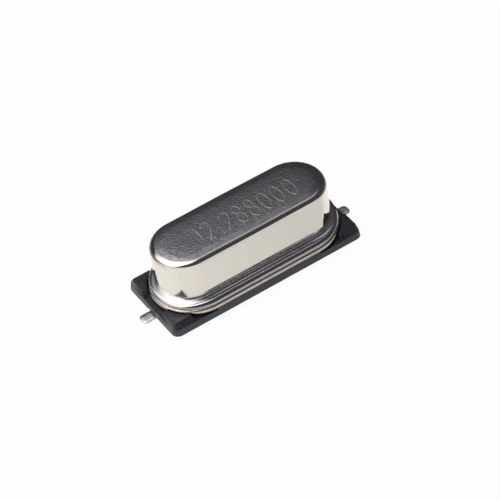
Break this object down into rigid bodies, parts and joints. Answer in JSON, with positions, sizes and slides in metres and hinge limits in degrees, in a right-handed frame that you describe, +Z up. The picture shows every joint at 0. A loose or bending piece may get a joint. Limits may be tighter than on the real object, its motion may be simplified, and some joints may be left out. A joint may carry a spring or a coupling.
{
  "type": "surface-mount quartz crystal unit",
  "caption": "Quartz crystal unit in a long round-ended metal can, welded to a header on a moulded black plastic base, with a flat solder lead bent out at each end.",
  "frame": {"origin": "centre of the part, on the plane that the underside of both leads stands on", "axes": "+X along the part through both leads, +Y across it, +Z up through the can"},
  "size_m": [0.0126, 0.0046, 0.0039],
  "materials": {
    "can_nickel": "bright nickel plate on a drawn steel can",
    "header_metal": "nickel plate, duller at the welded edge",
    "seal_glass": "dark green sealing glass",
    "lead_metal": "tinned lead wire",
    "base_plastic": "black moulded thermoset, slightly satin",
    "clip_steel": "thin spring strip",
    "quartz": "lapped clear quartz",
    "electrode_silver": "evaporated silver film",
    "silver_cement": "silver-filled epoxy"
  },
  "bodies": {
    "root": {"can_cover": "can_nickel", "header_plate": "header_metal", "glass_seal_left": "seal_glass", "glass_seal_right": "seal_glass", "lead_left": "lead_metal", "lead_right": "lead_metal", "plastic_base": "base_plastic", "spring_clip_left": "clip_steel", "spring_clip_right": "clip_steel", "quartz_blank": "quartz", "electrode_upper": "electrode_silver", "electrode_lower": "electrode_silver", "adhesive_dot_left": "silver_cement", "adhesive_dot_right": "silver_cement"}
  },
  "joints": []
}
